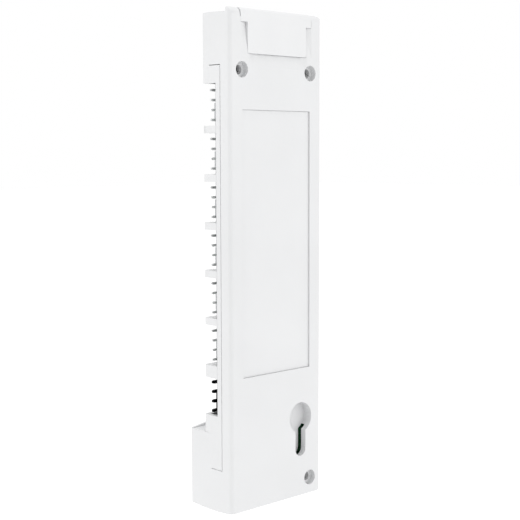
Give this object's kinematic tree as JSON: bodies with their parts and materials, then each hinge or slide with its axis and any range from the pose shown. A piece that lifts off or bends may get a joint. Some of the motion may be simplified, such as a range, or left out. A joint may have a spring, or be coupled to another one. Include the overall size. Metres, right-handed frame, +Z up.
{
  "type": "wall battery unit",
  "caption": "Slim upright white wall unit with a deeper lower block, open terminal bays along one side, and a hinged hanger flap and a keyhole in its back.",
  "frame": {"origin": "on the wall face at mid width, level with the centre of the keyhole slot's round lower end", "axes": "+Z up along the unit, +Y into the wall, +X towards the terminal side"},
  "size_m": [0.0666, 0.0326, 0.2589],
  "materials": {
    "housing_white": "fine satin moulded plastic",
    "flap_white": "fine satin moulded plastic",
    "cover_white": "smooth satin plastic sheet",
    "comb_white": "fine satin moulded plastic",
    "header_grey": "glass-filled plastic",
    "header_black": "glass-filled plastic",
    "contact_grey": "dull tin plate in shade",
    "contact_black": "dark plating",
    "steel": "plain zinc-plated steel",
    "blackened_steel": "blackened steel",
    "board_green": "solder-masked laminate",
    "black_plastic": "moulded plastic",
    "ivory_plastic": "moulded plastic",
    "cell_foil": "dull laminated foil",
    "tab_metal": "bare plated strip",
    "foam_grey": "closed-cell foam",
    "led_clear": "clear epoxy",
    "light_guide": "frosted clear plastic",
    "button_grey": "fine satin moulded plastic",
    "relay_blue": "moulded plastic",
    "sleeve_blue": "shrunk film sleeve",
    "copper_wire": "enamelled copper winding",
    "fuse_glass": "clear glass tube"
  },
  "bodies": {
    "housing": {"rear_shell": "housing_white", "front_cover": "housing_white", "lower_cover": "housing_white", "battery_cover": "cover_white", "terminal_comb": "comb_white", "hinge_pin": "steel", "case_screws": "blackened_steel", "main_board": "board_green", "power_board": "board_green", "board_screws": "steel", "board_link": "black_plastic", "header_1": "header_grey", "header_2": "header_grey", "header_3": "header_grey", "header_4": "header_grey", "header_5": "header_grey", "header_6": "header_grey", "header_7": "header_black", "contacts_1": "contact_grey", "contacts_2": "contact_grey", "contacts_3": "contact_grey", "contacts_4": "contact_grey", "contacts_5": "contact_grey", "contacts_6": "contact_grey", "contacts_7": "contact_black", "upper_cell": "cell_foil", "lower_cell": "cell_foil", "cell_tabs": "tab_metal", "cell_pad": "foam_grey", "protection_board": "board_green", "battery_socket": "ivory_plastic", "controller_chip": "black_plastic", "channel_switches": "black_plastic", "status_leds": "led_clear", "light_pipes": "light_guide", "button_switch": "black_plastic", "relay": "relay_blue", "filter_capacitors": "sleeve_blue", "power_inductor": "copper_wire", "fuse": "fuse_glass", "fuse_clips": "tab_metal"},
    "flap": {"hanger_flap": "flap_white"},
    "button": {"power_button": "button_grey"}
  },
  "joints": [
    {"name": "flap_hinge", "type": "hinge", "parent": "housing", "child": "flap", "pos_m": [0, -0.003, 0.2294], "axis": [1, 0, 0], "range_deg": [0, 100]},
    {"name": "power_button_press", "type": "slide", "parent": "housing", "child": "button", "axis": [0, 1, 0], "range_m": [0, 0.0006], "stiffness_N_per_m": 900}
  ]
}
